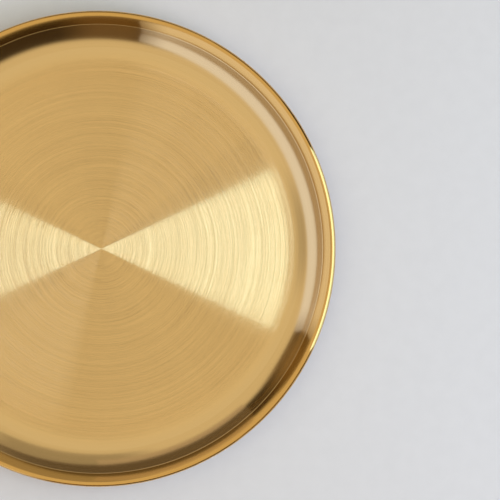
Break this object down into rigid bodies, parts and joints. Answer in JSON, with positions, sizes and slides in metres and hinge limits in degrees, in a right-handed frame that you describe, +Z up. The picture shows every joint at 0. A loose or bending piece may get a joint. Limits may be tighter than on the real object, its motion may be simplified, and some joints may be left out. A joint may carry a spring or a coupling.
{
  "type": "thali plate",
  "caption": "Round gold-coloured steel thali plate with a flat brushed floor, a wide bend, a sloping polished wall, a domed lip and a rolled, wired rim, for serving a meal.",
  "frame": {"origin": "centre of the flat base, on the surface that the plate stands on", "axes": "+Z up along the plate's axis, towards the rim; the plate is round, so X and Y have no preferred direction"},
  "size_m": [0.28, 0.28, 0.016],
  "materials": {
    "gold_steel": "gold-coloured coating on stainless steel: floor brushed in fine rings, wall, lip and rolled edge polished",
    "wire_steel": "drawn steel wire, bare"
  },
  "bodies": {
    "root": {"plate_pan": "gold_steel", "rim_wire": "wire_steel"}
  },
  "joints": []
}
